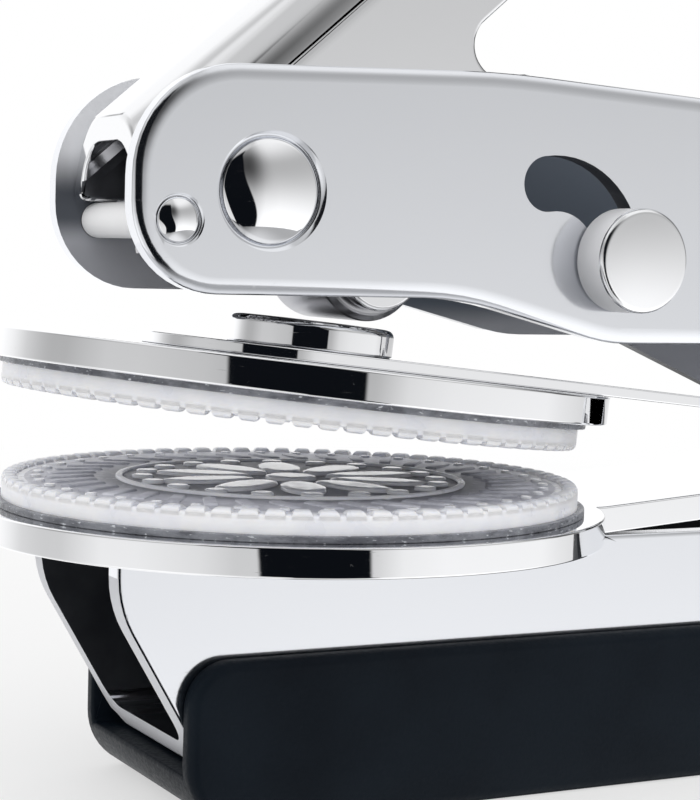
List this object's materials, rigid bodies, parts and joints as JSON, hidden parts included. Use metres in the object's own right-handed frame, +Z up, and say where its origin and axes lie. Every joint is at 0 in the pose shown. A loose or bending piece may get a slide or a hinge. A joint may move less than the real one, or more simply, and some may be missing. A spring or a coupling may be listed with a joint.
{
  "type": "seal embosser",
  "caption": "Desk seal embosser: a raised lever with a roller presses round dies in a removable sprung clip; folded steel frame in a rubber boot.",
  "frame": {"origin": "on the table, under the axis of the round dies", "axes": "+X runs from the nose to the rear end of the frame, +Z up, -Y is the near side"},
  "size_m": [0.137, 0.045, 0.1244],
  "materials": {
    "chrome": "bright chrome plating on folded and turned steel",
    "steel": "plain turned or drawn steel",
    "boot_rubber": "matt black moulded rubber",
    "pad_grey": "thin grey backing pad",
    "die_plastic": "pale translucent engraved plastic"
  },
  "bodies": {
    "frame": {"press_frame": "chrome", "base_boot": "boot_rubber", "base_screws": "steel", "pivot_pin": "chrome", "stop_pin": "chrome", "tie_rivet": "chrome", "return_spring": "steel"},
    "lever": {"lever_channel": "chrome", "pivot_bush": "steel", "roller_pin": "steel", "spring_arm": "steel"},
    "roller": {"press_roller": "steel"},
    "lock": {"lock_pin": "steel", "lock_button_near": "chrome", "lock_button_far": "chrome"},
    "clip_lower": {"lower_plate": "chrome", "lower_pad": "pad_grey", "lower_die": "die_plastic", "locating_boss": "steel", "clip_rivets": "steel", "leaf_root": "chrome"},
    "clip_upper": {"spring_leaf": "chrome", "upper_plate": "chrome", "upper_pad": "pad_grey", "upper_die": "die_plastic", "press_button": "chrome"}
  },
  "joints": [
    {"name": "lever_press", "type": "hinge", "parent": "frame", "child": "lever", "pos_m": [-0.0059, 0, 0.0424], "axis": [0, 1, 0], "range_deg": [0, 27], "stiffness_Nm_per_rad": 0.3, "springref_deg": -28.65},
    {"name": "roller_turn", "type": "hinge", "parent": "lever", "child": "roller", "pos_m": [0.00363, 0, 0.0377], "axis": [0, 1, 0], "range_deg": [-65.5, 0]},
    {"name": "clip_out", "type": "slide", "parent": "frame", "child": "clip_lower", "axis": [-1, 0, 0], "range_m": [0, 0.09]},
    {"name": "clip_close", "type": "hinge", "parent": "clip_lower", "child": "clip_upper", "pos_m": [0.04, 0, 0.02705], "axis": [0, -1, 0], "range_deg": [0, 5.93]},
    {"name": "lock_turn", "type": "hinge", "parent": "frame", "child": "lock", "pos_m": [0.01655, 0, 0.03847], "axis": [0, -1, 0], "range_deg": [0, 100]}
  ],
  "couplings": [
    {"joint": "roller_turn", "follows": "lever_press", "ratio": -2.422},
    {"joint": "clip_close", "follows": "lever_press", "ratio": 0.2196}
  ]
}
